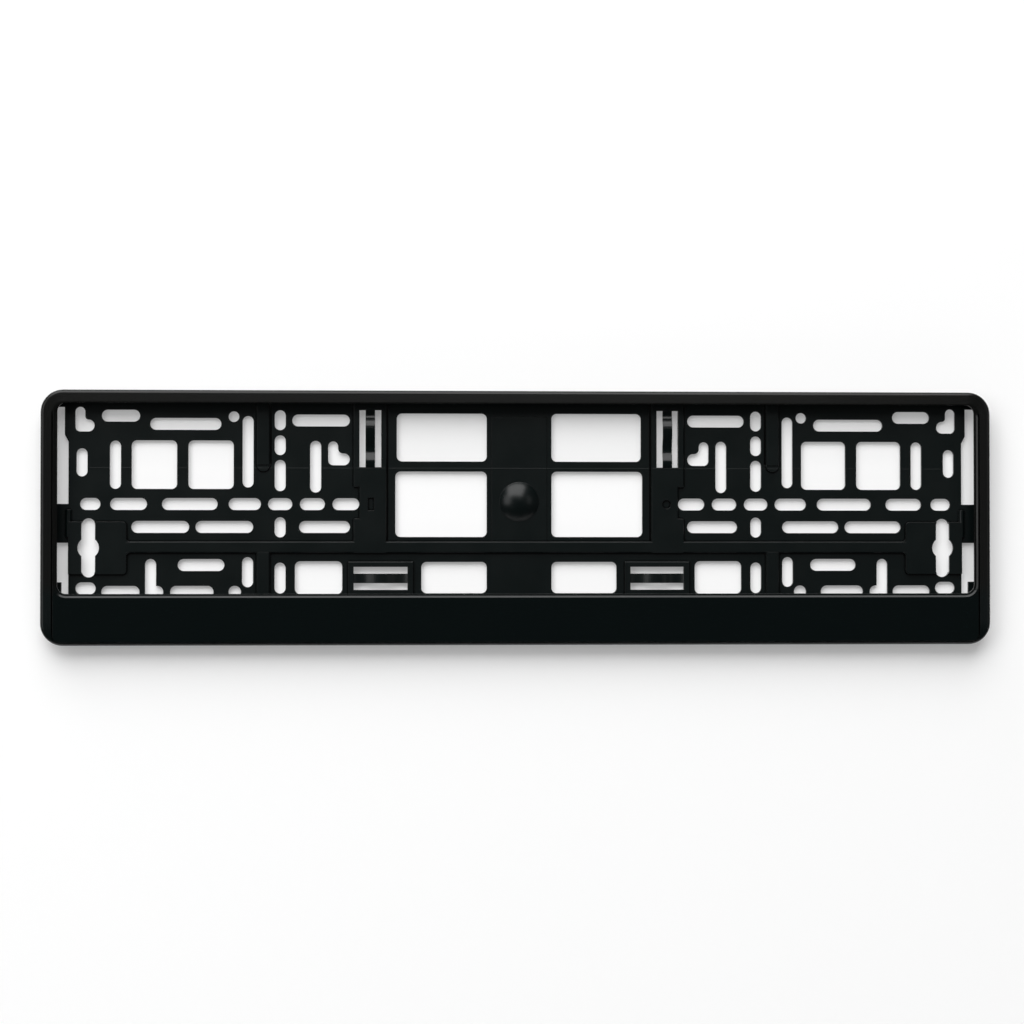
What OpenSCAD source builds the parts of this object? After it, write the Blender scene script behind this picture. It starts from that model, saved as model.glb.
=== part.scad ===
// Number plate holder: a rim, a bottom strip and a panel full of fixing slots, moulded in one piece.
// It stands upright: X runs along it, Z is up and its front faces -Y.
// The origin lies on the back plane, in the middle of the centre row of slots.
// The modules draw it lying on its back: x along, y up the holder and z out of its front.

/* [Number plate] */
// Width of the number plate that the holder takes
plate_w = 520; // [516:1:560]
// Height of that number plate
plate_h = 112; // [108:1:125]
// Room round the number plate
plate_gap = 0.5; // [0.3:0.1:1.5]
// Height of the plate's middle above the centre row of slots
plate_rise = 1.4; // [0:0.1:3]

/* [Rim and strip] */
// Depth from the back plane to the front of the rim
depth = 12; // [10.5:0.1:16]
// Thickness of the walls, the panel and the strip
wall = 1.8; // [1.4:0.1:2.4]
// How far the side lips reach in over the plate's pocket
lip_side = 3.9; // [3:0.1:6]
// How far the top lip reaches in over the plate's pocket
lip_top = 1.9; // [1.5:0.1:4]
// How far the strip reaches in over the plate's pocket
lip_low = 5; // [3:0.1:8]
// Width of the rim at each side, seen from the front
rim_side = 9.4; // [8:0.1:14]
// Width of the rim along the top, seen from the front
rim_top = 7.3; // [6.5:0.1:12]
// Height of the bottom strip, seen from the front
strip_h = 28.7; // [20:0.1:45]
// Outer corner radius
corner_r = 12.5; // [9:0.5:14]
// Corner radius of the front opening
window_r = 5; // [4:0.5:7]
// Radius of the rim's rounded outer edge
edge_r = 2; // [1.4:0.1:2.6]
// Slope of the rim's face, falling outwards, in degrees
rim_slope = 7; // [3:0.5:10]
// Width of the rim's sloping face and edge together
slope_w = 6.7; // [5:0.1:8]
// Width of the ledge along the sides and foot of the front opening
ledge_w = 1.2; // [1:0.1:2]
// Depth of the ledge at the opening's edge
ledge_d = 0.8; // [0.7:0.1:1]
// Slope of the ledge, in degrees
ledge_slope = 8; // [4:1:12]
// Width of the chamfer between the ledge and the rim's face
ledge_c = 0.9; // [0.4:0.1:1.2]
// Width of the V-shaped groove beside and below the strip
groove_w = 0.9; // [0.4:0.1:1.2]
// Width of that groove's floor
groove_floor = 0.2; // [0.1:0.1:0.4]
// Depth of that groove
groove_d = 0.9; // [0.2:0.1:1]
// Corner radius of that groove
groove_r = 4; // [3:0.5:6]
// Distance from the groove's middle to the holder's bottom edge
groove_low = 1.6; // [1:0.1:3]

/* [Panel] */
// Open space between the front opening's side and the panel's end
side_gap = 5.1; // [4.5:0.1:8]
// Height of the raised parts over the panel
step_h = 1.8; // [0.8:0.1:2]
// Chamfer along the raised parts
step_c = 0.5; // [0.2:0.1:0.6]
// Height of the long raised band
band_h = 6.3; // [5:0.1:8]
// Drop from the centre row of slots to the top of the long raised band
band_drop = 21; // [20:0.1:22]
// Inner edge of the raised columns beside the windows, from the middle
column_in = 74.6; // [72:0.2:76]
// Outer edge of those columns, from the middle
column_out = 93; // [91.5:0.1:94]
// How far those columns draw back beside the centre row of slots
column_jog = 3.3; // [2:0.1:4]
// Height over the centre row at which they draw back
jog_top = 9.8; // [8:0.2:12]
// Drop below the centre row at which they are wide again
jog_low = 8.2; // [7:0.2:9]
// Distance from those columns' inner edge to the shallow sink in each
sink_in = 8.6; // [7:0.2:9]
// Depth of the sinks
sink_d = 1.2; // [0.3:0.1:1.2]
// Width and height of the sink in the left column
left_sink = [3.6, 7.3];
// Radius of the round sink in the right column
right_sink_r = 2.5; // [2:0.1:3]
// Middle of the upright ribs, from the middle
rib_x = 143.4; // [142.5:0.1:144]
// Width of the upright ribs
rib_w = 7.3; // [4:0.1:8]
// Height of those ribs' round foot over the centre row
rib_foot = 18.4; // [17:0.2:20]
// Distance from the middle to the raised pad at each end of the band
end_pad_x = 219.4; // [217:0.2:222]
// Heights of the end pads' top and foot over the centre row
end_pad_z = [-10, -39.2];
// Corner radius of the end pads
end_pad_r = 2; // [1:0.5:5]
// Width and depth of the deep line along the inner side of the columns and ribs
deep_line = [1.1, 0.9];
// Half the width of the thin pad round the button
thin_pad_x = 15.5; // [13:0.5:15.5]
// Height of that pad's top over the centre row
thin_pad_top = 49; // [40:1:52]
// Thickness of that pad over the panel
thin_pad_h = 0.3; // [0.2:0.1:0.6]
// Radius of the domed button in the middle of the plate's pocket
dome_r = 11.4; // [8:0.1:12.2]
// Height of the button over the panel
dome_h = 4.6; // [2:0.1:6]

/* [Slots] */
// Width of the level slots
slot_w = 6.7; // [5:0.1:7.4]
// Width of the upright slots
upright_w = 6.2; // [5:0.1:7]
// Centre row, each slot as its distance from the middle and its length
centre_row = [[97.3, 15], [116, 14], [134, 13.5], [153.7, 18], [184.3, 31], [218.3, 20.5]];
// Second row, each slot as its distance from the middle and its length
second_row = [[109.2, 28.5], [165.1, 32.2], [200.7, 32.2]];
// Drop from the centre row to the second row
second_drop = 12.8; // [12:0.1:14]
// Column of upright slots, each as its height over the centre row and its length
slot_column = [[47, 11.2], [33, 11.1], [16, 17.5], [-13, 11.3], [-41.4, 17.3]];
// Distance of that column from the middle
slot_column_x = 134; // [133.5:0.1:134.5]
// Other upright slots, each as its distance from the middle, its height and its length
lone_uprights = [[114.2, 21, 29], [151.9, 29.3, 40], [225.6, 21.9, 27], [152.1, -38.1, 16.8]];
// Other level slots, each as its distance from the middle, its height and its length
lone_levels = [[111.2, 46.9, 32.2], [186.6, 44.8, 39.6], [222.6, 49.3, 21.3], [178, -34.1, 26]];
// Slots that run in under the strip, each as its distance from the middle and its length
foot_row = [[159.2, 7], [183.1, 24.2], [222.7, 21.3]];
// Height of those slots over the foot of the front opening
foot_rise = 1; // [0.5:0.1:2]
// Height of the last of those slots over the foot of the front opening
end_foot_rise = 3; // [2:0.5:4]
// Round hole beside the long upright slot, as its distance from the middle and its height
round_hole = [159.8, 48.9];
// Diameter of that hole
round_hole_d = 6; // [5:0.1:7]

/* [End slots] */
// Length of the keyhole slot
keyhole_l = 33; // [28:0.5:34]
// Width of the keyhole slot
keyhole_w = 7.7; // [6.5:0.1:8.5]
// Width of the keyhole slot's round middle
keyhole_d = 12; // [10:0.1:13]
// Distance from the panel's end to the keyhole's middle
keyhole_in = 11.1; // [9:0.1:12]
// Drop from the centre row to the keyhole's middle
keyhole_drop = 24.5; // [24:0.1:26]
// Distance from the panel's end to the last slot of the centre row
end_slot_in = 12; // [11:0.1:12.5]
// Length of the last slots of the centre row and of the foot row
end_slot_l = 11.3; // [9:0.1:12]
// Distance from the panel's end to the last slot of the foot row
end_foot_in = 9.5; // [8:0.1:11]
// Distance from the panel's end to the short upright slot
end_upright_in = 7.4; // [6:0.1:8]
// Height and length of the short upright slot
end_upright = [23.2, 15.7];
// Width and height of the hooked slots beside the springs
inner_hook = [12.1, 13.4];
// Radius in the inner corner of the hooked slots
hook_r = 2.6; // [0.5:0.1:3]
// Place of their outer lower corner
inner_hook_at = [107.2, 21.8];
// Width and height of the hooked slots at the panel's top corners
end_hook = [10.7, 13.8];
// Distance from their outer side to the panel's end
end_hook_in = 3.6; // [3:0.1:4.5]
// Height of their foot over the centre row
end_hook_rise = 40.4; // [39:0.1:41]
// Width of the upright arm of the hooked slots
hook_arm = 5.6; // [4:0.1:6]
// Place of the low hooked slots' upright arm and of its top
low_hook_at = [206, -30.7];
// Length of the low hooked slots' foot
low_hook_foot = 10.2; // [9:0.1:11]

/* [Windows] */
// Corner radius of the windows
pane_r = 3; // [1:0.5:4]
// Half the width of the panel between the windows
middle_w = 18.2; // [16:0.1:20]
// Width of the upper window
top_pane_w = 50.6; // [46:0.1:52]
// Width of the middle window
mid_pane_w = 51.4; // [46:0.1:52]
// Height of the upper window
top_pane_h = 27; // [22:0.5:27.5]
// Height of the upper window's middle over the centre row
top_pane_z = 37.5; // [37:0.1:38]
// Height of the middle window, which is centred on the centre row
mid_pane_h = 36.8; // [30:0.2:38]
// Width of the lower window
low_pane_w = 36.8; // [30:0.1:38]
// Height of the lower window
low_pane_h = 17.6; // [14:0.1:18]
// Drop from the centre row to the middle of the lower windows
low_pane_drop = 41.2; // [41:0.1:42]
// Width and height of the square windows
square = [25.3, 27.2];
// Distances of the square windows from the middle
square_x = [172.5, 204];
// Height of the square windows' middle over the centre row
square_z = 22; // [21.5:0.1:22.5]
// Width and height of the windows beside the lower springs
side_pane = [26.5, 18.4];
// Distance of those windows from the middle
side_pane_x = 112.5; // [112:0.1:113]

/* [Springs] */
// Width and height of the upright spring's window
tall_spring = [12.2, 32];
// Place of the upright spring's middle
tall_spring_at = [83.6, 36.7];
// Width and height of the level spring's window
long_spring = [30.2, 12.9];
// Place of the level spring's middle
long_spring_at = [77.8, -41.6];
// Width of the leaf springs
leaf_w = 5.3; // [3:0.1:6]
// Thickness of the leaf springs
leaf_t = 1.2; // [0.8:0.1:1.6]
// Steepest slope of the leaf springs' waves, in degrees
leaf_slope = 26; // [12:1:30]
// Lengths of the upright spring's waves set against each other, the first one falling
tall_waves = [16, 40, 25, 19];
// Lengths of the level spring's waves set against each other, the first one falling
long_waves = [30, 40, 30];
// Width of the raised frame round the level spring
frame_w = 3; // [2:0.1:4]

/* [Bridges and ribs] */
// Height of the bridges that join the panel's ends to the rim
bridge_h = 21.7; // [16:0.1:24]
// Height of the gap between the panel's end and the strip's corner
low_gap_h = 28.5; // [24:0.1:29]
// Radius of the upright bar on each bridge
bar_r = 1.7; // [1:0.1:2.2]
// Length of that bar
bar_l = 15.2; // [10:0.1:18]
// Extra width of the panel's top corners
ear_w = 2.1; // [1:0.1:3]
// Height of the panel's top corners
ear_h = 19.4; // [12:0.1:22]
// Length of the slope at the foot of those corners
ear_slope = 4; // [1:0.5:6]
// Width left open beside the gusset at the foot of each side gap
gusset_gap = 3.9; // [1:0.1:4.5]
// Height of the gusset over the foot of the front opening
gusset_h = 6.4; // [3:0.1:10]
// Thickness of the ribs behind the strip and under the top lip
rib_t = 1.4; // [1:0.1:1.8]
// Distance from one rib behind the strip to the next
strip_pitch = 44; // [30:1:60]
// Number of plate stops under the top lip
stops = 9; // [5:2:13]
// Length of the panel that stays whole at each plate stop
stop_land = 16.8; // [10:0.1:24]

/* [Hidden] */
$fn = 48;
// Overlap that joins one solid to the next, and clearance of a cut past a face
bite = 0.4;
clear = 1;
// Pieces that a right angle of a rounded edge is made of
edge_steps = 7;
wave_steps = 10;

pocket_x = plate_w / 2 + plate_gap;
pocket_top = plate_rise + plate_h / 2 + plate_gap;
pocket_low = plate_rise - plate_h / 2 - plate_gap;
window_x = pocket_x - lip_side;
window_top = pocket_top - lip_top;
window_low = pocket_low + lip_low;
outer_x = window_x + rim_side;
outer_top = window_top + rim_top;
outer_low = window_low - strip_h;
inner_x = outer_x - wall;
panel_x = window_x - side_gap;
under_lip = depth - wall;
ledge_low = pocket_low - rib_t;
band_top = -band_drop;
band_low = band_top - band_h;
raised = wall + step_h;
rib_start = rib_foot + rib_w / 2;

// Points along an arc, from angle a0 to angle a1
function arc(centre, r, a0, a1, steps) =
    [for (i = [0:steps]) centre + r * [cos(a0 + (a1 - a0) * i / steps), sin(a0 + (a1 - a0) * i / steps)]];
// Sum of the first n numbers of a list
function sum_to(list, n) = n == 0 ? 0 : list[n - 1] + sum_to(list, n - 1);

// Flat shapes

module both_sides() {
    children();
    mirror([1, 0, 0]) children();
}

module round_box(x0, y0, x1, y1, r) {
    translate([x0 + r, y0]) square([x1 - x0 - 2 * r, y1 - y0]);
    translate([x0, y0 + r]) square([x1 - x0, y1 - y0 - 2 * r]);
    for (x = [x0 + r, x1 - r], y = [y0 + r, y1 - r])
        translate([x, y]) circle(r);
}

module pane(x, y, w, h) {
    round_box(x - w / 2, y - h / 2, x + w / 2, y + h / 2, pane_r);
}

module level_slot(x, y, length, w = slot_w) {
    straight = length - w;
    translate([x - straight / 2, y - w / 2]) square([straight, w]);
    for (side = [-1, 1])
        translate([x + side * straight / 2, y]) circle(d = w);
}

module upright_slot(x, y, length, w = upright_w) {
    straight = length - w;
    translate([x - w / 2, y - straight / 2]) square([w, straight]);
    for (side = [-1, 1])
        translate([x, y + side * straight / 2]) circle(d = w);
}

// Slot with a foot and an upright arm at its outer end, drawn from its outer lower corner
module hooked_slot(at, size) {
    r = min(hook_r, size[0] - hook_arm - slot_w / 2);
    corner = at + [-hook_arm - r, slot_w];
    level_slot(at[0] - size[0] / 2, at[1] + slot_w / 2, size[0]);
    upright_slot(at[0] - hook_arm / 2, at[1] + size[1] / 2, size[1], hook_arm);
    difference() {
        translate(corner - [0, bite]) square([r + bite, r + bite]);
        translate(corner + [0, r]) circle(r);
    }
}

// Block with rounded corners; the child is its edge profile, drawn outwards from the corner's centre
module swept_block(x0, y0, x1, y1, r, low, high) {
    corners = [[x1 - r, y1 - r], [x0 + r, y1 - r], [x0 + r, y0 + r], [x1 - r, y0 + r]];
    lengths = [x1 - x0 - 2 * r, y1 - y0 - 2 * r, x1 - x0 - 2 * r, y1 - y0 - 2 * r];
    for (i = [0:3])
        translate(corners[i]) rotate(90 * i) {
            rotate_extrude(angle = 90) children();
            rotate([90, 0, 90]) translate([0, 0, -lengths[i]]) linear_extrude(lengths[i]) children();
        }
    translate([x0 + r, y0 + r, low]) cube([x1 - x0 - 2 * r, y1 - y0 - 2 * r, high - low]);
}

// Rim and strip

// Profile of the rim's outside: upright wall, rounded edge and a face that rises inwards
module rim_profile() {
    slope_start = corner_r - slope_w;
    face_end = corner_r - edge_r + edge_r * sin(rim_slope);
    edge_mid = depth - tan(rim_slope) * (face_end - slope_start) - edge_r * cos(rim_slope);
    polygon(concat(
        [[0, 0], [corner_r, 0]],
        arc([corner_r - edge_r, edge_mid], edge_r, 0, 90 - rim_slope, edge_steps),
        [[slope_start, depth], [0, depth]]));
}

// Profile of the hollow behind the rim and the strip
module hollow_profile() {
    hollow_r = corner_r - wall;
    relief = wall / 2;
    polygon([[0, -clear], [hollow_r, -clear], [hollow_r, under_lip - 2 * relief],
        [hollow_r - relief, under_lip - relief], [hollow_r - 3 * relief, under_lip], [0, under_lip]]);
}

module ledge_profile() {
    ledge_end = window_r + ledge_w;
    ledge_top = depth - ledge_d + ledge_w * tan(ledge_slope);
    polygon([[0, depth - ledge_d], [window_r, depth - ledge_d], [ledge_end, ledge_top],
        [ledge_end + ledge_c, depth], [ledge_end + ledge_c, depth + clear], [0, depth + clear]]);
}

// Flat strip under the front opening, level with the highest line of the rim
module strip_face() {
    strip_x = outer_x - slope_w;
    translate([0, 0, under_lip])
        linear_extrude(wall)
            difference() {
                round_box(-strip_x, outer_low + groove_low, strip_x,
                    window_low + window_r + groove_r, groove_r);
                translate([-window_x, window_low]) square([2 * window_x, strip_h]);
            }
}

// Profile of one wall of the groove: side is 1 for the outer wall and -1 for the inner one
module groove_profile(side, low) {
    foot = groove_r + side * groove_floor / 2;
    spread = side * (groove_w - groove_floor) / 2;
    polygon([[0, low], [foot, low], [foot, depth - groove_d],
        [foot + spread * (1 + clear / groove_d), depth + clear], [0, depth + clear]]);
}

// Fine groove that runs down both sides of the rim and along under the strip
module groove() {
    groove_x = outer_x - slope_w;
    groove_z = outer_low + groove_low;
    end = window_top - window_r;
    floor_h = depth - groove_d;
    difference() {
        swept_block(-groove_x, groove_z, groove_x, end + groove_r, groove_r, floor_h, depth + clear)
            groove_profile(1, floor_h);
        swept_block(-groove_x, groove_z, groove_x, end + groove_r, groove_r, floor_h - clear, depth + clear)
            groove_profile(-1, floor_h - clear);
        translate([-outer_x, end, 0]) cube([2 * outer_x, rim_top + window_r, depth + 2 * clear]);
    }
}

module rim_and_strip() {
    difference() {
        union() {
            swept_block(-outer_x, outer_low, outer_x, outer_top, corner_r, 0, depth) rim_profile();
            strip_face();
        }
        swept_block(-inner_x, outer_low + wall, inner_x, outer_top - wall, corner_r - wall, -clear, under_lip)
            hollow_profile();
        translate([0, 0, under_lip - clear])
            linear_extrude(wall + 2 * clear)
                round_box(-window_x, window_low, window_x, window_top, window_r);
        // The ledge fades out along the top lip
        swept_block(-window_x, window_low, window_x, window_top - ledge_w - ledge_c, window_r,
                depth - ledge_d, depth + clear)
            ledge_profile();
        groove();
    }
}

// Panel

// Raised bar lying along x, with chamfered long edges
module level_bar(x0, x1, y0, y1) {
    translate([x0, 0, 0]) rotate([90, 0, 90]) linear_extrude(x1 - x0)
        polygon([[y0, 0], [y1, 0], [y1, raised - step_c], [y1 - step_c, raised],
            [y0 + step_c, raised], [y0, raised - step_c]]);
}

// Raised bar standing along y, with chamfered long edges
module upright_bar(x0, x1, y0, y1) {
    translate([0, y1, 0]) rotate([90, 0, 0]) linear_extrude(y1 - y0)
        polygon([[x0, 0], [x1, 0], [x1, raised - step_c], [x1 - step_c, raised],
            [x0 + step_c, raised], [x0, raised - step_c]]);
}

// Raised pad at each end of the band, rounded where it meets the panel
module end_pad() {
    low = end_pad_z[1];
    top = end_pad_z[0];
    linear_extrude(raised) {
        round_box(end_pad_x, low, panel_x + end_pad_r, top, end_pad_r);
        for (edge = [[band_top, 1], [band_low, -1]])
            difference() {
                translate([end_pad_x - end_pad_r, edge[0] - (edge[1] < 0 ? end_pad_r : bite)])
                    square([end_pad_r + bite, end_pad_r + bite]);
                translate([end_pad_x - end_pad_r, edge[0] + edge[1] * end_pad_r]) circle(end_pad_r);
            }
    }
}

// All that stands up from the panel on one side of the middle
module raised_parts() {
    level_bar(-bite, end_pad_x + bite, band_low, band_top);
    end_pad();
    upright_bar(column_in, column_out, jog_top, window_top + bite);
    upright_bar(column_in, column_out - column_jog, -jog_low - bite, jog_top + bite);
    upright_bar(column_in, column_out, band_low, -jog_low);
    for (span = [[rib_start, window_top + bite], [ledge_low, band_low + bite]])
        upright_bar(rib_x - rib_w / 2, rib_x + rib_w / 2, span[0], span[1]);
    translate([rib_x, rib_start, 0]) cylinder(h = raised - step_c, d = rib_w);
    spring_frame();
}

// Frame round the level spring
module spring_frame() {
    half_w = long_spring[0] / 2 + frame_w;
    half_h = long_spring[1] / 2 + frame_w;
    level_bar(long_spring_at[0] - half_w, long_spring_at[0] + half_w,
        long_spring_at[1] - half_h, long_spring_at[1] + half_h);
}

// Hollows behind the raised parts on one side, which keep the wall even
module raised_hollows() {
    side = wall / 2;
    translate([-bite, band_low + side, -clear]) cube([end_pad_x + wall, band_h - 2 * side, step_h + clear]);
    translate([end_pad_x + side, end_pad_z[1] + side, -clear])
        cube([panel_x - end_pad_x - 2 * side, end_pad_z[0] - end_pad_z[1] - 2 * side, step_h + clear]);
    translate([column_in + side, band_low + side, -clear])
        cube([column_out - column_jog - column_in - 2 * side, window_top - band_low - side, step_h + clear]);
    translate([rib_x - rib_w / 2 + side, rib_start, -clear])
        cube([rib_w - 2 * side, window_top - rib_start, step_h + clear]);
}

// Deep lines along the inner sides of the columns and of the upright ribs
module deep_lines() {
    line_low = wall - deep_line[1];
    for (side = [[column_in, band_top], [rib_x - rib_w / 2, rib_start]])
        translate([side[0] - deep_line[0], side[1], line_low])
            cube([deep_line[0], window_top - side[1], deep_line[1] + clear]);
}

// Shallow sinks in the columns, one rectangular and one round
module sinks() {
    sink_x = column_in + sink_in;
    translate([0, 0, raised - sink_d]) linear_extrude(sink_d + clear) {
        translate([-sink_x, 0]) square(left_sink, center = true);
        translate([sink_x, 0]) circle(right_sink_r);
    }
}

// Panel seen from the front, with the gaps that let the lips be moulded
module panel_outline() {
    difference() {
        intersection() {
            round_box(-outer_x + bite, outer_low, outer_x - bite, outer_top - bite, corner_r - bite);
            translate([-outer_x, ledge_low]) square([2 * outer_x, outer_top - ledge_low]);
        }
        both_sides() side_gaps();
        stop_gaps();
    }
}

module side_gaps() {
    low_gap_top = -bridge_h;
    gap_top = window_top - lip_top;
    ear_low = gap_top - ear_h;
    ear_x = panel_x + ear_w;
    difference() {
        translate([panel_x, low_gap_top - low_gap_h]) square([inner_x - panel_x, low_gap_h]);
        translate([panel_x + gusset_gap, window_low - clear]) square([rim_side, gusset_h + clear]);
    }
    polygon([[panel_x, 0], [inner_x, 0], [inner_x, gap_top], [ear_x, gap_top],
        [ear_x, ear_low + ear_slope], [panel_x, ear_low]]);
}

// Gaps between the plate stops under the top lip
module stop_gaps() {
    pitch = 2 * panel_x / (stops - 1);
    for (i = [0:stops - 2])
        translate([-panel_x + pitch * i + stop_land / 2, window_top + clear])
            square([pitch - stop_land, outer_top - wall - window_top - clear]);
}

// Fixing slots and windows of one side
module openings_of_a_side() {
    for (s = centre_row)
        level_slot(s[0], 0, s[1]);
    for (s = second_row)
        level_slot(s[0], -second_drop, s[1]);
    for (s = lone_levels)
        level_slot(s[0], s[1], s[2]);
    for (s = slot_column)
        upright_slot(slot_column_x, s[0], s[1]);
    for (s = lone_uprights)
        upright_slot(s[0], s[1], s[2]);
    for (s = foot_row)
        level_slot(s[0], window_low + foot_rise, s[1]);
    translate(round_hole) circle(d = round_hole_d);
    hooked_slot(inner_hook_at, inner_hook);
    end_openings();
    low_hook();
    window_openings();
}

// Slots that keep their distance from the panel's end
module end_openings() {
    level_slot(panel_x - end_slot_in, 0, end_slot_l);
    level_slot(panel_x - end_foot_in, window_low + end_foot_rise, end_slot_l);
    upright_slot(panel_x - end_upright_in, end_upright[0], end_upright[1]);
    upright_slot(panel_x - keyhole_in, -keyhole_drop, keyhole_l, keyhole_w);
    translate([panel_x - keyhole_in, -keyhole_drop]) circle(d = keyhole_d);
    hooked_slot([panel_x - end_hook_in, end_hook_rise], end_hook);
}

// Upright slot whose foot turns inwards under the strip
module low_hook() {
    low = pocket_low + clear;
    top = low_hook_at[1];
    upright_slot(low_hook_at[0], (low + top) / 2, top - low);
    level_slot(low_hook_at[0] + upright_w / 2 - low_hook_foot / 2, window_low + foot_rise, low_hook_foot);
}

module window_openings() {
    pane(middle_w + top_pane_w / 2, top_pane_z, top_pane_w, top_pane_h);
    pane(middle_w + mid_pane_w / 2, 0, mid_pane_w, mid_pane_h);
    pane(middle_w + low_pane_w / 2, -low_pane_drop, low_pane_w, low_pane_h);
    for (x = square_x)
        pane(x, square_z, square[0], square[1]);
    pane(side_pane_x, -low_pane_drop, side_pane[0], side_pane[1]);
    translate(tall_spring_at) square(tall_spring, center = true);
    translate(long_spring_at) square(long_spring, center = true);
}

// Domed button that steadies the middle of the number plate
module dome() {
    ball_r = (dome_r * dome_r + dome_h * dome_h) / (2 * dome_h);
    intersection() {
        translate([0, plate_rise, wall + dome_h - ball_r]) sphere(ball_r, $fn = 96);
        translate([-dome_r, plate_rise - dome_r, 0])
            cube([2 * dome_r, 2 * dome_r, wall + dome_h + clear]);
    }
}

module panel() {
    difference() {
        union() {
            linear_extrude(wall) panel_outline();
            intersection() {
                both_sides() raised_parts();
                translate([-panel_x, outer_low, 0])
                    cube([2 * panel_x, outer_top - outer_low, depth]);
            }
            dome();
            translate([-thin_pad_x, band_top - bite, 0])
                cube([2 * thin_pad_x, thin_pad_top - band_top + bite, wall + thin_pad_h]);
        }
        both_sides() {
            raised_hollows();
            deep_lines();
        }
        sinks();
        translate([0, 0, -clear]) linear_extrude(raised + 2 * clear) both_sides() openings_of_a_side();
    }
}

// Springs, bridges and ribs

// Wavy leaf lying along x from 0 to length, its ends inside the raised parts' wall
module leaf(length, waves) {
    chords = [for (part = waves) length * part / sum_to(waves, len(waves))];
    starts = [for (i = [0:len(waves) - 1]) sum_to(chords, i)];
    middle = [for (i = [0:len(waves) - 1], k = [(i == 0 ? 0 : 1):wave_steps])
        let (r = chords[i] / (2 * sin(leaf_slope)), side = i % 2 == 0 ? -1 : 1,
            a = leaf_slope * (2 * k / wave_steps - 1))
        [starts[i] + chords[i] / 2 + r * sin(a), side * r * (cos(a) - cos(leaf_slope))]];
    translate([0, leaf_w / 2, raised - leaf_t / 2]) rotate([90, 0, 0]) linear_extrude(leaf_w)
        polygon(concat(
            [for (p = middle) p + [0, leaf_t / 2]],
            [for (i = [len(middle) - 1:-1:0]) middle[i] - [0, leaf_t / 2]]));
}

module springs() {
    tall = tall_spring[1] + 2 * bite;
    long = long_spring[0] + 2 * bite;
    translate([tall_spring_at[0], tall_spring_at[1] + tall / 2, 0]) rotate(-90) leaf(tall, tall_waves);
    translate([long_spring_at[0] - long / 2, long_spring_at[1], 0]) leaf(long, long_waves);
}

// Bar and plate stop on the bridge between the panel's end and the rim
module bridge_parts() {
    translate([panel_x, -bridge_h / 2 - bar_l / 2, bar_r + bite / 2]) rotate([-90, 0, 0])
        cylinder(h = bar_l, r = bar_r);
    translate([pocket_x, -bridge_h, 0]) cube([outer_x - pocket_x - wall / 2, bridge_h, under_lip + bite]);
}

// Wall that the number plate stands on, and the ribs that stiffen the strip from behind
module strip_ribs() {
    ribs = floor((outer_x - corner_r) / strip_pitch);
    low = outer_low + wall / 2;
    translate([-inner_x - bite, ledge_low, 0]) cube([2 * (inner_x + bite), rib_t, under_lip + bite]);
    for (i = [-ribs:ribs])
        translate([i * strip_pitch - rib_t / 2, low, 0])
            cube([rib_t, ledge_low + bite - low, under_lip + bite]);
}

// Stops that hold the number plate down from the top wall
module top_stops() {
    pitch = 2 * panel_x / (stops - 1);
    for (i = [0:stops - 1])
        translate([-panel_x + pitch * i - rib_t / 2, pocket_top, 0])
            cube([rib_t, outer_top - wall / 2 - pocket_top, under_lip + bite]);
}

module plate_holder() {
    color("#17181a") rotate([90, 0, 0]) union() {
        rim_and_strip();
        panel();
        both_sides() {
            springs();
            bridge_parts();
        }
        strip_ribs();
        top_stops();
    }
}

plate_holder();
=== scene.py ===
# %% [markdown]
# # Dressing a number plate holder
#
# The holder is one moulding in near-black plastic: a rounded rim, a wide flat strip below it and a thin
# panel full of slots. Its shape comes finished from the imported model, which is loaded here as a fixed frame.
# Everything is in metres: X runs along the holder, Z is up, and its front faces -Y.

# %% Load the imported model
import math

import bpy
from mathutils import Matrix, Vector

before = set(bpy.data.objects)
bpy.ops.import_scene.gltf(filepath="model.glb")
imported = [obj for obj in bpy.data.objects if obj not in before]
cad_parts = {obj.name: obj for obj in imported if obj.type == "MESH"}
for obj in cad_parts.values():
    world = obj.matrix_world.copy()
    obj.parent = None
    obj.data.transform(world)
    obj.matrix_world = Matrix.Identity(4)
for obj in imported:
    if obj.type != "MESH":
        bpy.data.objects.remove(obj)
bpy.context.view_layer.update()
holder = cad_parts["plate_holder"]
print("holder loaded:", len(holder.data.polygons), "triangles")

# %% [markdown]
# ## Camera
#
# The photograph was taken from straight in front, about 1.4 m away. Its left end is a little taller in the
# picture than its right end, so the camera stood slightly to the left, and it stood a little low. A real
# camera can be matched in two ways: by turning and guessing, or by writing down measured points and solving
# for the place. The values below were solved from the rim and 78 of the openings.

# %% Camera
CAMERA_DISTANCE = 1.4
CAMERA_RISE = -0.0269
CAMERA_SIDE = math.radians(3.22)
LOOK_RIGHT = math.radians(3.06)
LOOK_UP = math.radians(0.925)
LENS_MM = 87.39
SENSOR_MM = 36

camera_data = bpy.data.cameras.new("photo_camera")
camera_data.sensor_width = SENSOR_MM
camera_data.lens = LENS_MM
camera = bpy.data.objects.new("photo_camera", camera_data)
bpy.context.scene.collection.objects.link(camera)
camera.location = (-CAMERA_DISTANCE * math.sin(CAMERA_SIDE), -CAMERA_DISTANCE * math.cos(CAMERA_SIDE),
                   CAMERA_RISE)
camera.rotation_euler = (math.pi / 2 + LOOK_UP, 0, -LOOK_RIGHT)
bpy.context.scene.camera = camera
print("camera at", [round(v, 3) for v in camera.location])

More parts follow.
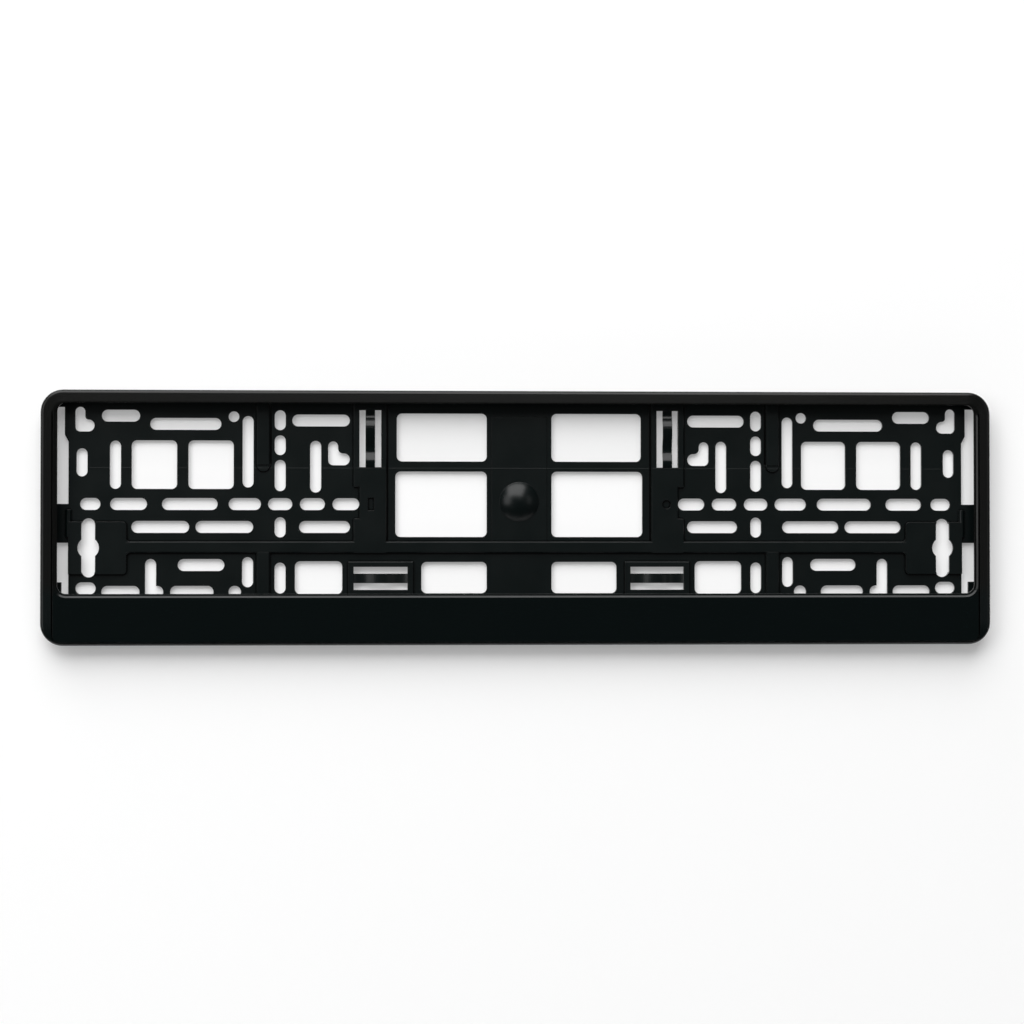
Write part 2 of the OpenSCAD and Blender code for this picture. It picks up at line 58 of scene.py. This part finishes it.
# %% [markdown]
# ## Backdrop
#
# The holder lies on a white surface, which shows through every slot and carries a soft shadow below and to
# the right. A wall and a floor of their own would meet in a line that shows. So one sheet does for both: it
# stands just behind the holder and curves forward below it, like the paper roll in a studio. Its floor lies
# far down, because a near one would throw light up into the shadow. It is made as by hand: a long edge is
# extruded along the curve's points. The sheet throws no shadow, so that the lamp behind it reaches the back
# of the holder.

# %% Curve of the sheet
WALL_GAP = 0.0006
SWEEP_RADIUS = 0.25
SWEEP_STEPS = 12
FLOOR_DROP = 1.9
WALL_HALF = 2.2
WALL_TOP = 1.8
FLOOR_FRONT = 0.8

# Each point is a place in Y and Z, from the top of the wall to the front of the floor
sweep_points = [(WALL_GAP, WALL_TOP)]
for step in range(SWEEP_STEPS + 1):
    turn = math.radians(90 * step / SWEEP_STEPS)
    sweep_points.append((WALL_GAP - SWEEP_RADIUS * (1 - math.cos(turn)),
                         -FLOOR_DROP + SWEEP_RADIUS * (1 - math.sin(turn))))
sweep_points.append((-FLOOR_FRONT, -FLOOR_DROP))
print("sheet follows", len(sweep_points), "points")

# %% Top edge of the sheet
bpy.ops.object.select_all(action="DESELECT")
bpy.ops.mesh.primitive_plane_add(size=1, location=(0, 0, 0))
backdrop = bpy.context.object
backdrop.name = "backdrop"
bpy.ops.object.mode_set(mode="EDIT")
bpy.ops.mesh.select_all(action="SELECT")
bpy.ops.mesh.delete(type="ONLY_FACE")
bpy.ops.mesh.select_all(action="DESELECT")
bpy.ops.object.mode_set(mode="OBJECT")
# The plane's first edge becomes the sheet's top edge, and the rest of the plane goes
for corner, x in zip(backdrop.data.vertices, (-WALL_HALF, WALL_HALF, -WALL_HALF, WALL_HALF)):
    corner.co = (x, sweep_points[0][0], sweep_points[0][1])
    corner.select = corner.index < 2
bpy.ops.object.mode_set(mode="EDIT")
bpy.ops.mesh.select_all(action="INVERT")
bpy.ops.mesh.delete(type="VERT")
bpy.ops.mesh.select_all(action="SELECT")
print("top edge", 2 * WALL_HALF, "m long")

# %% Sheet
for before, after in zip(sweep_points, sweep_points[1:]):
    bpy.ops.mesh.extrude_region_move(
        TRANSFORM_OT_translate={"value": (0, after[0] - before[0], after[1] - before[1])})
bpy.ops.mesh.select_all(action="SELECT")
bpy.ops.mesh.normals_make_consistent(inside=False)
bpy.ops.object.mode_set(mode="OBJECT")
if backdrop.data.polygons[0].normal.y > 0:
    backdrop.data.flip_normals()
bpy.ops.object.shade_smooth()
backdrop.visible_shadow = False
print("backdrop:", len(backdrop.data.polygons), "faces, its wall faces",
      list(backdrop.data.polygons[0].normal))

# %% [markdown]
# ## Paper
#
# The paper is plain white, and the photograph's background is white right up to the holder, while the
# shadows on it stay soft. Stronger lamps would make it white as well, but they would also brighten the
# holder. So part of what is seen of the paper is its own even light, which shows to the camera, in
# reflections and through see-through materials alone. The holder mirrors it, but isn't lit by it. From
# behind, the paper is see-through, so that the back of the holder can be looked at too.

# %% Helpers for nodes
def put(tree, socket, value):
    """Gives a socket a number, a colour or a link from another socket, or leaves it as it is for None."""
    if isinstance(value, bpy.types.NodeSocket):
        tree.links.new(value, socket)
    elif value is not None:
        socket.default_value = value

def maths(tree, operation, a, b=None, clamp=False):
    """One Math node; a and b are sockets or numbers."""
    node = tree.nodes.new("ShaderNodeMath")
    node.operation = operation
    node.use_clamp = clamp
    put(tree, node.inputs[0], a)
    put(tree, node.inputs[1], b)
    return node.outputs[0]

print("helpers: put, maths")

# %% Paper material
PAPER_COLOUR = (0.75, 0.75, 0.75, 1)
PAPER_GLOW = 0.235

paper = bpy.data.materials.new("white_paper")
paper.use_nodes = True
nodes, links = paper.node_tree.nodes, paper.node_tree.links
nodes.clear()
rays = nodes.new("ShaderNodeLightPath")
seen = maths(paper.node_tree, "MAXIMUM", rays.outputs["Is Camera Ray"], rays.outputs["Is Glossy Ray"])
seen = maths(paper.node_tree, "MAXIMUM", seen, rays.outputs["Is Transmission Ray"])
glow = nodes.new("ShaderNodeEmission")
links.new(maths(paper.node_tree, "MULTIPLY", seen, PAPER_GLOW), glow.inputs["Strength"])
diffuse = nodes.new("ShaderNodeBsdfDiffuse")
diffuse.inputs["Color"].default_value = PAPER_COLOUR
lit_and_glowing = nodes.new("ShaderNodeAddShader")
links.new(diffuse.outputs[0], lit_and_glowing.inputs[0])
links.new(glow.outputs[0], lit_and_glowing.inputs[1])
clear = nodes.new("ShaderNodeBsdfTransparent")
side = nodes.new("ShaderNodeNewGeometry")
front_or_back = nodes.new("ShaderNodeMixShader")
links.new(side.outputs["Backfacing"], front_or_back.inputs["Fac"])
links.new(lit_and_glowing.outputs[0], front_or_back.inputs[1])
links.new(clear.outputs[0], front_or_back.inputs[2])
paper_out = nodes.new("ShaderNodeOutputMaterial")
links.new(front_or_back.outputs[0], paper_out.inputs["Surface"])
backdrop.data.materials.append(paper)
print("paper glow", PAPER_GLOW)

# %% [markdown]
# ## Light
#
# The shadow under the top lip is about 7 mm long on a panel that lies 10 mm deeper, and the shadow on the
# paper fades over some 30 mm. One small lamp would draw hard shadows. So the main light is a very large one
# that stands between 25 and 80 degrees above the line of sight. A dimmer one at the left and a small one at
# the right pick out the rim's sides, and one behind the holder is there for the views from the back. Each is
# aimed at the middle of the holder. A little light comes from all round, as from the walls of a room.

# %% Lamps
# Name, degrees to the right of straight in front, degrees above it, distance, width, height and watts
LAMPS = (("top_light", -16, 52, 6, 6.9, 6.2, 605),
         ("left_light", -46, 8, 4, 2.0, 2.4, 35),
         ("right_light", 42, 8, 4, 1.2, 2.0, 6),
         ("back_light", 160, 40, 4, 2.4, 1.6, 150))

for name, turn, rise, distance, width, height, watts in LAMPS:
    lamp_data = bpy.data.lights.new(name, "AREA")
    lamp_data.shape = "RECTANGLE"
    lamp_data.size, lamp_data.size_y = width, height
    lamp_data.energy = watts
    lamp = bpy.data.objects.new(name, lamp_data)
    bpy.context.scene.collection.objects.link(lamp)
    turn, rise = math.radians(turn), math.radians(rise)
    lamp.location = distance * Vector((math.sin(turn) * math.cos(rise), -math.cos(turn) * math.cos(rise),
                                       math.sin(rise)))
    lamp.rotation_euler = (-lamp.location).to_track_quat("-Z", "Y").to_euler()
    print(name, "at", [round(v, 2) for v in lamp.location])

# %% Room light
ROOM_COLOUR = (1, 1, 1, 1)
ROOM_LIGHT = 0.09

world = bpy.data.worlds.new("room")
bpy.context.scene.world = world
world.use_nodes = True
world.node_tree.nodes["Background"].inputs["Color"].default_value = ROOM_COLOUR
world.node_tree.nodes["Background"].inputs["Strength"].default_value = ROOM_LIGHT
# Colours come out as they are written, without the softer look of a film
bpy.context.scene.view_settings.view_transform = "Standard"
print("room light", ROOM_LIGHT)

# %% [markdown]
# ## Plastic
#
# The holder is moulded in polypropylene that is dyed black all through. Its front faces are satin, the
# panel behind is duller, and both carry the fine grain of a spark-eroded mould. Up close the shine is
# uneven: the panel is a little cloudy, edges are rubbed, and narrow places are smoother. Those narrow places
# are also given painted shade, a darker colour where little light reaches. All of this can be painted on in
# images or made by nodes. Nodes are used, on Object coordinates, so that the grain has its real size on every
# face. Each effect is a node group of its own, so that it can be used on other plastics too.

# %% Helpers for groups
def new_group(name, inputs, outputs):
    """An empty shader group. Its inputs are (name, kind, value), its outputs (name, kind)."""
    group = bpy.data.node_groups.new(name, "ShaderNodeTree")
    kinds = {"float": "NodeSocketFloat", "vector": "NodeSocketVector"}
    for socket, kind, value in inputs:
        made = group.interface.new_socket(name=socket, in_out="INPUT", socket_type=kinds[kind])
        if value is not None:
            made.default_value = value
    for socket, kind in outputs:
        group.interface.new_socket(name=socket, in_out="OUTPUT", socket_type=kinds[kind])
    return group, group.nodes.new("NodeGroupInput"), group.nodes.new("NodeGroupOutput")

def axes_of(tree, place):
    """The X, Y and Z of a place, as outputs to be taken by name."""
    node = tree.nodes.new("ShaderNodeSeparateXYZ")
    tree.links.new(place, node.inputs[0])
    return node.outputs

def ranged(tree, value, start=0, end=1, low=0, high=1):
    """low where value is at start, high where it is at end, in proportion between them, never beyond."""
    node = tree.nodes.new("ShaderNodeMapRange")
    for socket, given in (("Value", value), ("From Min", start), ("From Max", end), ("To Min", low),
                          ("To Max", high)):
        put(tree, node.inputs[socket], given)
    return node.outputs["Result"]

def mixed(tree, kind, a, b, share):
    """a where share is 0 and b where it is 1; kind is RGBA or VECTOR."""
    node = tree.nodes.new("ShaderNodeMix")
    node.data_type = kind
    for socket, given in (("A", a), ("B", b), ("Factor", share)):
        put(tree, node.inputs[socket], given)
    return node.outputs["Result"]

print("helpers: new_group, axes_of, ranged, mixed")

# %% [markdown]
# ### Mould grain
#
# The mould's steel was eroded by sparks, which leaves fine pits all over, and the plastic shrinks a little
# unevenly as it cools. A mesh as fine as that would be far too heavy, so two noises give the height: fine
# pits over a slower swell. The swell alone is given out too, for the cloudy shine.

# %% Mould grain
PIT_DETAIL = 3
SWELLS_PER_METRE = 55
SWELL_DETAIL = 2

grain_group, grain_in, grain_out = new_group(
    "mould_grain",
    [("Place", "vector", None), ("Pits per metre", "float", 1400.0), ("Swell", "float", 0.35)],
    [("Height", "float"), ("Shine", "float")])
pits = grain_group.nodes.new("ShaderNodeTexNoise")
pits.inputs["Detail"].default_value = PIT_DETAIL
grain_group.links.new(grain_in.outputs["Place"], pits.inputs["Vector"])
grain_group.links.new(grain_in.outputs["Pits per metre"], pits.inputs["Scale"])
swell = grain_group.nodes.new("ShaderNodeTexNoise")
swell.inputs["Scale"].default_value = SWELLS_PER_METRE
swell.inputs["Detail"].default_value = SWELL_DETAIL
grain_group.links.new(grain_in.outputs["Place"], swell.inputs["Vector"])
swell_part = maths(grain_group, "MULTIPLY", swell.outputs["Fac"], grain_in.outputs["Swell"])
grain_height = maths(grain_group, "ADD", pits.outputs["Fac"], swell_part)
grain_group.links.new(grain_height, grain_out.inputs["Height"])
grain_group.links.new(swell.outputs["Fac"], grain_out.inputs["Shine"])
print("grain group:", len(grain_group.nodes), "nodes")

# %% [markdown]
# ### Rubbed edges
#
# Hands and plates rub the edges, which turn a little paler, and no moulded edge is quite sharp. The edges
# could be marked by hand. A Bevel node finds them by itself: where its rounded direction leans away from the
# true one, there is an edge. The lean is measured as a cosine, 1 on a flat face and less on an edge.

# %% Rubbed edges
EDGE_STARTS = 0.995
EDGE_FULL = 0.85
EDGE_SAMPLES = 6

edge_group, edge_in, edge_out = new_group(
    "rubbed_edges", [("Radius", "float", 0.0002)], [("Rounded", "vector"), ("Edge", "float")])
rounding = edge_group.nodes.new("ShaderNodeBevel")
rounding.samples = EDGE_SAMPLES
edge_group.links.new(edge_in.outputs["Radius"], rounding.inputs["Radius"])
true_face = edge_group.nodes.new("ShaderNodeNewGeometry")
lean = edge_group.nodes.new("ShaderNodeVectorMath")
lean.operation = "DOT_PRODUCT"
edge_group.links.new(rounding.outputs["Normal"], lean.inputs[0])
edge_group.links.new(true_face.outputs["Normal"], lean.inputs[1])
edge_group.links.new(rounding.outputs["Normal"], edge_out.inputs["Rounded"])
edge_group.links.new(ranged(edge_group, lean.outputs["Value"], EDGE_STARTS, EDGE_FULL),
                     edge_out.inputs["Edge"])
print("edge group:", len(edge_group.nodes), "nodes")

# %% [markdown]
# ### Moulding line
#
# The tool's inserts meet along a fine raised line, which crosses the panel above the centre row of slots. It
# is no higher than a hair is thick, too fine for the mesh, so it is given as a height: a small ridge that
# falls to both sides of one level of Z.

# %% Moulding line
line_group, line_in, line_out = new_group(
    "moulding_line",
    [("Place", "vector", None), ("Level", "float", 0.02), ("Half width", "float", 0.0004),
     ("Reach", "float", 0.24)],
    [("Height", "float")])
line_axes = axes_of(line_group, line_in.outputs["Place"])
off_line = maths(line_group, "ABSOLUTE",
                 maths(line_group, "SUBTRACT", line_axes["Z"], line_in.outputs["Level"]))
fall = maths(line_group, "DIVIDE", off_line, line_in.outputs["Half width"])
ridge = maths(line_group, "SUBTRACT", 1.0, fall, clamp=True)
across = maths(line_group, "ABSOLUTE", line_axes["X"])
within = maths(line_group, "LESS_THAN", across, line_in.outputs["Reach"])
line_group.links.new(maths(line_group, "MULTIPLY", ridge, within), line_out.inputs["Height"])
print("line group:", len(line_group.nodes), "nodes")

# %% [markdown]
# ### Spring leaves
#
# The two upright leaf springs come from polished steel in the mould, so they shine more than the panel
# round them. A piece of its own could have its own material, but they are part of the one solid. So they are
# found by their place: a box round the middle of one leaf, mirrored to the other side.

# %% Spring leaves
LEAF_X = 0.0836
LEAF_Z = 0.0367
LEAF_HALF_WIDTH = 0.0027
LEAF_HALF_HEIGHT = 0.0160

leaf_group, leaf_in, leaf_out = new_group("spring_leaves", [("Place", "vector", None)], [("Leaf", "float")])
leaf_axes = axes_of(leaf_group, leaf_in.outputs["Place"])
from_middle = maths(leaf_group, "ABSOLUTE", leaf_axes["X"])
off_x = maths(leaf_group, "ABSOLUTE", maths(leaf_group, "SUBTRACT", from_middle, LEAF_X))
off_z = maths(leaf_group, "ABSOLUTE", maths(leaf_group, "SUBTRACT", leaf_axes["Z"], LEAF_Z))
on_leaf = maths(leaf_group, "MULTIPLY", maths(leaf_group, "LESS_THAN", off_x, LEAF_HALF_WIDTH),
                maths(leaf_group, "LESS_THAN", off_z, LEAF_HALF_HEIGHT))
leaf_group.links.new(on_leaf, leaf_out.inputs["Leaf"])
print("leaf group:", len(leaf_group.nodes), "nodes")

# %% [markdown]
# ### Round button
#
# The button in the middle is part of a ball. Its facets meet in a point at its tip, which would catch the
# light. The mesh isn't changed, so the shading direction is worked out from the ball's centre instead, and
# the button shines evenly right up to its tip. What counts as button is as far from that centre as the
# ball's radius, and in front of the pad that it stands on.

# %% Round button
BALL_CENTRE = (0, 0.010026, 0.0014)
BALL_RADIUS = 0.016426
BALL_TOLERANCE = 0.0001
PAD_FACE = -0.0023

ball_group, ball_in, ball_out = new_group(
    "round_button", [("Place", "vector", None), ("Normal", "vector", None)],
    [("Normal", "vector"), ("Button", "float")])
from_centre = ball_group.nodes.new("ShaderNodeVectorMath")
from_centre.operation = "SUBTRACT"
from_centre.inputs[1].default_value = BALL_CENTRE
ball_group.links.new(ball_in.outputs["Place"], from_centre.inputs[0])
reach = ball_group.nodes.new("ShaderNodeVectorMath")
reach.operation = "LENGTH"
ball_group.links.new(from_centre.outputs["Vector"], reach.inputs[0])
outward = ball_group.nodes.new("ShaderNodeVectorMath")
outward.operation = "NORMALIZE"
ball_group.links.new(from_centre.outputs["Vector"], outward.inputs[0])
off_ball = maths(ball_group, "ABSOLUTE", maths(ball_group, "SUBTRACT", reach.outputs["Value"], BALL_RADIUS))
ball_axes = axes_of(ball_group, ball_in.outputs["Place"])
on_ball = maths(ball_group, "MULTIPLY", maths(ball_group, "LESS_THAN", off_ball, BALL_TOLERANCE),
                maths(ball_group, "LESS_THAN", ball_axes["Y"], PAD_FACE))
ball_normal = mixed(ball_group, "VECTOR", ball_in.outputs["Normal"], outward.outputs["Vector"], on_ball)
ball_group.links.new(ball_normal, ball_out.inputs["Normal"])
ball_group.links.new(on_ball, ball_out.inputs["Button"])
print("button group:", len(ball_group.nodes), "nodes")

# %% [markdown]
# ### Deep corners
#
# Narrow places in the mould's steel stay smooth, because the sparks that roughen it don't reach in evenly.
# So the feet of steps, the fine lines and the sinks are smoother than the open faces round them. Their colour
# is also made darker there as painted shade, where little light reaches. They could be listed one by one.
# An Ambient Occlusion node finds them all: it gives 1 in the open and less where other faces of the holder
# stand close.

# %% Deep corners
CORNER_STARTS = 0.9
CORNER_FULL = 0.5
CORNER_SAMPLES = 8

corner_group, corner_in, corner_out = new_group(
    "deep_corners", [("Reach", "float", 0.0016)], [("Corner", "float")])
shelter = corner_group.nodes.new("ShaderNodeAmbientOcclusion")
shelter.samples = CORNER_SAMPLES
shelter.only_local = True
corner_group.links.new(corner_in.outputs["Reach"], shelter.inputs["Distance"])
corner_group.links.new(ranged(corner_group, shelter.outputs["AO"], CORNER_STARTS, CORNER_FULL),
                       corner_out.inputs["Corner"])
print("corner group:", len(corner_group.nodes), "nodes")

# %% [markdown]
# ### Black plastic
#
# The groups come together in one material, because the holder is one moulding. The whole surface has the
# same mirror-like share, which is set on the shader itself. Colour and roughness change from place to place.
# A material for each part would leave hard borders between them. So two soft masks tell the rim and strip in
# front from the panel behind, and the strip from the rim.

# %% Material and its groups
PLASTIC_IOR = 1.49
SPECULAR_LEVEL = 0.28

plastic = bpy.data.materials.new("black_plastic")
plastic.use_nodes = True
tree = plastic.node_tree
nodes, links = tree.nodes, tree.links
shader = nodes["Principled BSDF"]
shader.inputs["IOR"].default_value = PLASTIC_IOR
shader.inputs["Specular IOR Level"].default_value = SPECULAR_LEVEL
place = nodes.new("ShaderNodeTexCoord").outputs["Object"]

def use_group(group):
    """A group in the plastic, given the place on the holder if it asks for one."""
    node = nodes.new("ShaderNodeGroup")
    node.node_tree = group
    if "Place" in node.inputs:
        links.new(place, node.inputs["Place"])
    return node

grain, edges, line = use_group(grain_group), use_group(edge_group), use_group(line_group)
leaves, button, corners = use_group(leaf_group), use_group(ball_group), use_group(corner_group)
links.new(edges.outputs["Rounded"], button.inputs["Normal"])
print("plastic:", len(nodes), "nodes so far")

# %% Front and strip
# 1 on the rim and strip, 0 on the panel behind them; then 1 on the strip, 0 on the rim above it
PANEL_ENDS_Y, FRONT_STARTS_Y = -0.0085, -0.0095
RIM_ENDS_Z, STRIP_STARTS_Z = -0.044, -0.052

axes = axes_of(tree, place)
front = ranged(tree, axes["Y"], PANEL_ENDS_Y, FRONT_STARTS_Y)
strip = ranged(tree, axes["Z"], RIM_ENDS_Z, STRIP_STARTS_Z)
print("front from Y", FRONT_STARTS_Y, "and strip from Z", STRIP_STARTS_Z)

# %% Colour
# The strip, the rim, the panel, the edges that hands and plates rub, and painted shade in the narrow places
STRIP_BLACK = (0.0006, 0.0024, 0.0025, 1)
RIM_BLACK = (0.0016, 0.0018, 0.0015, 1)
PANEL_BLACK = (0.0010, 0.0030, 0.0030, 1)
RUBBED = (0.0050, 0.0058, 0.0058, 1)
# Painted shade: the colour of the narrow places, darker where little light reaches them
CORNER_PAINTED_SHADE = (0.0003, 0.0004, 0.0004, 1)

front_black = mixed(tree, "RGBA", RIM_BLACK, STRIP_BLACK, strip)
black = mixed(tree, "RGBA", PANEL_BLACK, front_black, front)
rubbed_black = mixed(tree, "RGBA", black, RUBBED, edges.outputs["Edge"])
# The narrow places that the occlusion finds get the painted shade
colour = mixed(tree, "RGBA", rubbed_black, CORNER_PAINTED_SHADE, corners.outputs["Corner"])
links.new(colour, shader.inputs["Base Color"])
print("colours: strip, rim, panel, rubbed edges, narrow places")

# %% Shine
# Leaves, button and narrow places are smoother than what is round them, and the swell makes all of it cloudy
PANEL_ROUGHNESS = 0.34
FRONT_ROUGHNESS = 0.21
LEAF_ROUGHNESS = 0.19
BUTTON_POLISH = 0.35
CORNER_ROUGHNESS = 0.10
PANEL_UNEVEN = 0.12
FRONT_UNEVEN = 0.02
MIDDLE_OF_SWELL = 0.5

roughness = ranged(tree, front, low=PANEL_ROUGHNESS, high=FRONT_ROUGHNESS)
button_share = maths(tree, "MULTIPLY", button.outputs["Button"], BUTTON_POLISH)
polish = maths(tree, "MAXIMUM", leaves.outputs["Leaf"], button_share)
roughness = ranged(tree, polish, low=roughness, high=LEAF_ROUGHNESS)
roughness = ranged(tree, corners.outputs["Corner"], low=roughness, high=CORNER_ROUGHNESS)
cloud = maths(tree, "MULTIPLY", maths(tree, "SUBTRACT", grain.outputs["Shine"], MIDDLE_OF_SWELL),
              ranged(tree, front, low=PANEL_UNEVEN, high=FRONT_UNEVEN))
links.new(maths(tree, "ADD", roughness, cloud, clamp=True), shader.inputs["Roughness"])
print("roughness: panel", PANEL_ROUGHNESS, "and front", FRONT_ROUGHNESS)

# %% Relief
# The grain lies on the rounded edges, and the moulding line on the grain, on the panel alone
GRAIN_STRENGTH = 0.6
GRAIN_DEPTH = 0.00001
LINE_HEIGHT = 0.00006

relief = nodes.new("ShaderNodeBump")
relief.inputs["Strength"].default_value = GRAIN_STRENGTH
relief.inputs["Distance"].default_value = GRAIN_DEPTH
links.new(grain.outputs["Height"], relief.inputs["Height"])
links.new(button.outputs["Normal"], relief.inputs["Normal"])
line_relief = nodes.new("ShaderNodeBump")
line_relief.inputs["Distance"].default_value = LINE_HEIGHT
on_panel = maths(tree, "SUBTRACT", 1.0, front)
links.new(maths(tree, "MULTIPLY", line.outputs["Height"], on_panel), line_relief.inputs["Height"])
links.new(relief.outputs["Normal"], line_relief.inputs["Normal"])
links.new(line_relief.outputs["Normal"], shader.inputs["Normal"])

for slot in holder.material_slots:
    slot.material = plastic
print("plastic on", len(holder.material_slots), "slot(s)")
